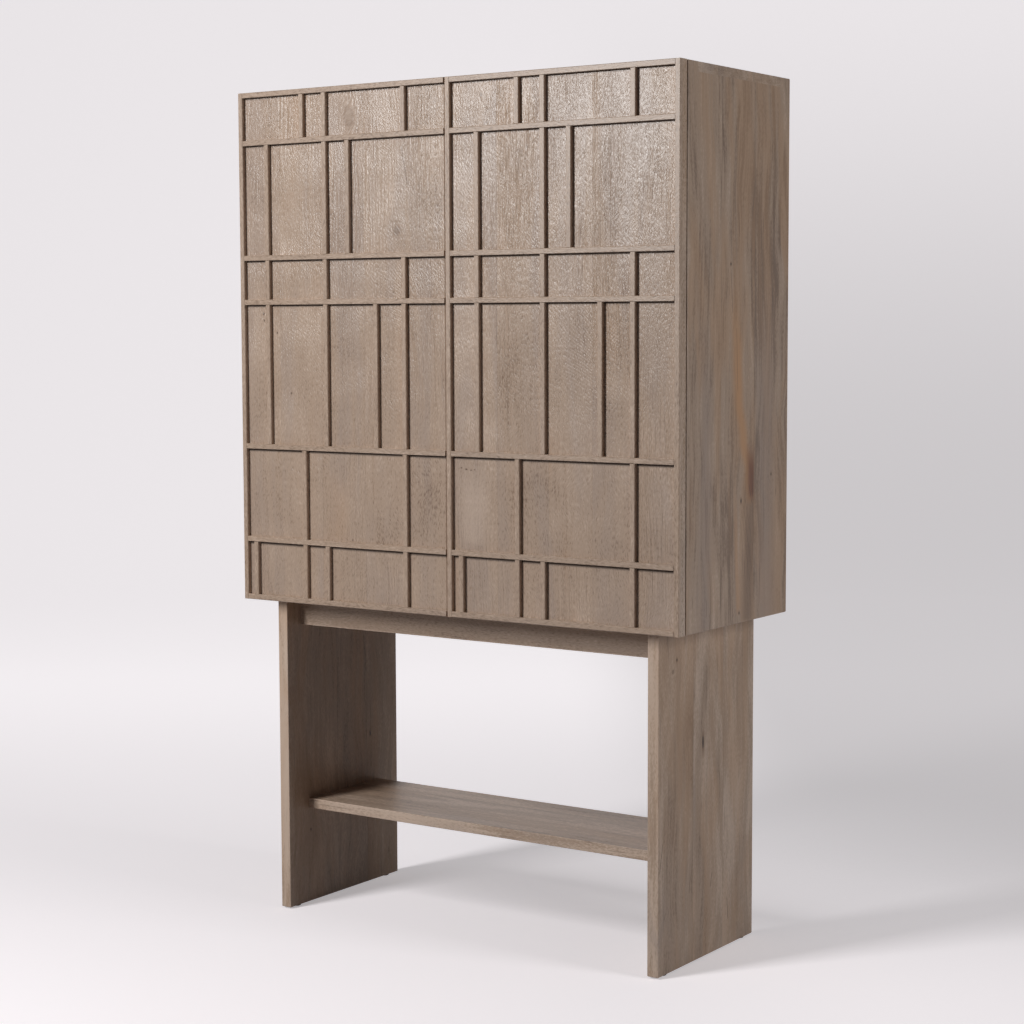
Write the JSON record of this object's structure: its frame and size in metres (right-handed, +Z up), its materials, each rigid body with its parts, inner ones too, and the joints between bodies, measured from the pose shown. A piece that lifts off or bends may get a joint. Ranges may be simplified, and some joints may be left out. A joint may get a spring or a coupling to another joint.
{
  "type": "bar cabinet",
  "caption": "Tall bar cabinet on slab legs with a lower shelf; doors with applied wooden strips open on stemware rails, a bottle rack and a fold-out serving shelf.",
  "frame": {"origin": "on the floor, under the middle of the outer box", "axes": "+Z up, +X to the right seen from the front, the doors face -Y"},
  "size_m": [1, 0.407, 1.628],
  "materials": {
    "washed_wood": "matt grey-brown wash over open grain",
    "back_board": "matt stained plywood",
    "brass": "satin",
    "steel": "satin nickel plate",
    "latch_plastic": "matt",
    "glide_plastic": "matt"
  },
  "bodies": {
    "cabinet": {"back_panel": "back_board", "bay_shelf": "washed_wood", "case_bottom": "washed_wood", "case_top": "washed_wood", "corner_blocks": "washed_wood", "floor_glides": "glide_plastic", "front_apron": "washed_wood", "leaf_hinge_fixed_plates": "brass", "left_cleat": "washed_wood", "left_latch_body": "latch_plastic", "left_leg": "washed_wood", "left_lower_hinge_arm": "steel", "left_side": "washed_wood", "left_upper_hinge_arm": "steel", "lower_divider": "washed_wood", "lower_shelf": "washed_wood", "rack_level_1": "washed_wood", "rack_level_2": "washed_wood", "rack_level_3": "washed_wood", "rack_upright_1": "washed_wood", "rack_upright_2": "washed_wood", "rack_upright_3": "washed_wood", "rear_apron": "washed_wood", "right_cleat": "washed_wood", "right_latch_body": "latch_plastic", "right_leg": "washed_wood", "right_lower_hinge_arm": "steel", "right_side": "washed_wood", "right_upper_hinge_arm": "steel", "serving_shelf": "washed_wood", "shelf_pins": "brass", "stemware_rail_1": "washed_wood", "stemware_rail_2": "washed_wood", "stemware_rail_3": "washed_wood", "stemware_rail_4": "washed_wood", "stemware_rail_5": "washed_wood", "stemware_rail_6": "washed_wood"},
    "fold_out_shelf": {"fold_out_leaf": "washed_wood", "leaf_hinge_moving_plates": "brass"},
    "left_door": {"left_door_hinge_stile": "washed_wood", "left_door_lower_hinge_cup": "steel", "left_door_panel": "washed_wood", "left_door_rails": "washed_wood", "left_door_strike": "steel", "left_door_upper_hinge_cup": "steel", "left_door_uprights": "washed_wood"},
    "left_plunger": {"left_latch_plunger": "latch_plastic"},
    "right_door": {"right_door_hinge_stile": "washed_wood", "right_door_lower_hinge_cup": "steel", "right_door_meeting_stile": "washed_wood", "right_door_panel": "washed_wood", "right_door_rails": "washed_wood", "right_door_strike": "steel", "right_door_upper_hinge_cup": "steel", "right_door_uprights": "washed_wood"},
    "right_plunger": {"right_latch_plunger": "latch_plastic"}
  },
  "joints": [
    {"name": "left_door_hinge", "type": "hinge", "parent": "cabinet", "child": "left_door", "pos_m": [-0.493, -0.1885, 1.129], "axis": [0, 0, -1], "range_deg": [0, 100]},
    {"name": "right_door_hinge", "type": "hinge", "parent": "cabinet", "child": "right_door", "pos_m": [0.493, -0.1885, 1.129], "axis": [0, 0, 1], "range_deg": [0, 100]},
    {"name": "fold_out_shelf_hinge", "type": "hinge", "parent": "cabinet", "child": "fold_out_shelf", "pos_m": [0, 0.00975, 1.1502], "axis": [1, 0, 0], "range_deg": [0, 180]},
    {"name": "left_plunger_slide", "type": "slide", "parent": "cabinet", "child": "left_plunger", "axis": [0, 1, 0], "range_m": [0, 0.003], "stiffness_N_per_m": 400},
    {"name": "right_plunger_slide", "type": "slide", "parent": "cabinet", "child": "right_plunger", "axis": [0, 1, 0], "range_m": [0, 0.003], "stiffness_N_per_m": 400}
  ]
}
